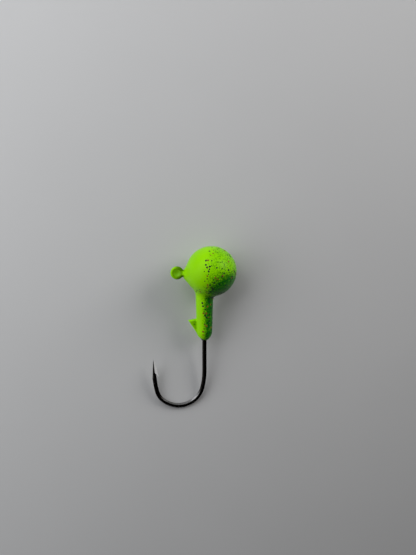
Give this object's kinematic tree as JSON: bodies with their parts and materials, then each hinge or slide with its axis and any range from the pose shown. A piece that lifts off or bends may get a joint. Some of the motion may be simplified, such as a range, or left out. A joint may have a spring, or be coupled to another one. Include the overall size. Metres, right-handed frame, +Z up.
{
  "type": "jig head",
  "caption": "Round fishing jig head: a painted lead ball with a collar and keeper barb, cast on a bent-eye hook with a round bend and a barbed point.",
  "frame": {"origin": "on the surface that the jig lies on, under the middle of its overall box", "axes": "+Z up from that surface, +Y from the hook's bend towards the nose, +X towards the belly of the ball, away from the line eye; the jig lies on its side on the ball and the bend, so its hook plane slopes 9.5 degrees down towards the bend"},
  "size_m": [0.0176, 0.0338, 0.0104],
  "materials": {
    "black_nickel": "black nickel plate, dark and glossy",
    "cast_lead": "dull cast lead",
    "chartreuse_paint": "satin chartreuse powder paint with green overspray and fine dark speckles",
    "chartreuse_film": "thin satin paint film"
  },
  "bodies": {
    "root": {"hook": "black_nickel", "lead_head": "cast_lead", "paint_coat": "chartreuse_paint", "eye_film": "chartreuse_film"}
  },
  "joints": []
}
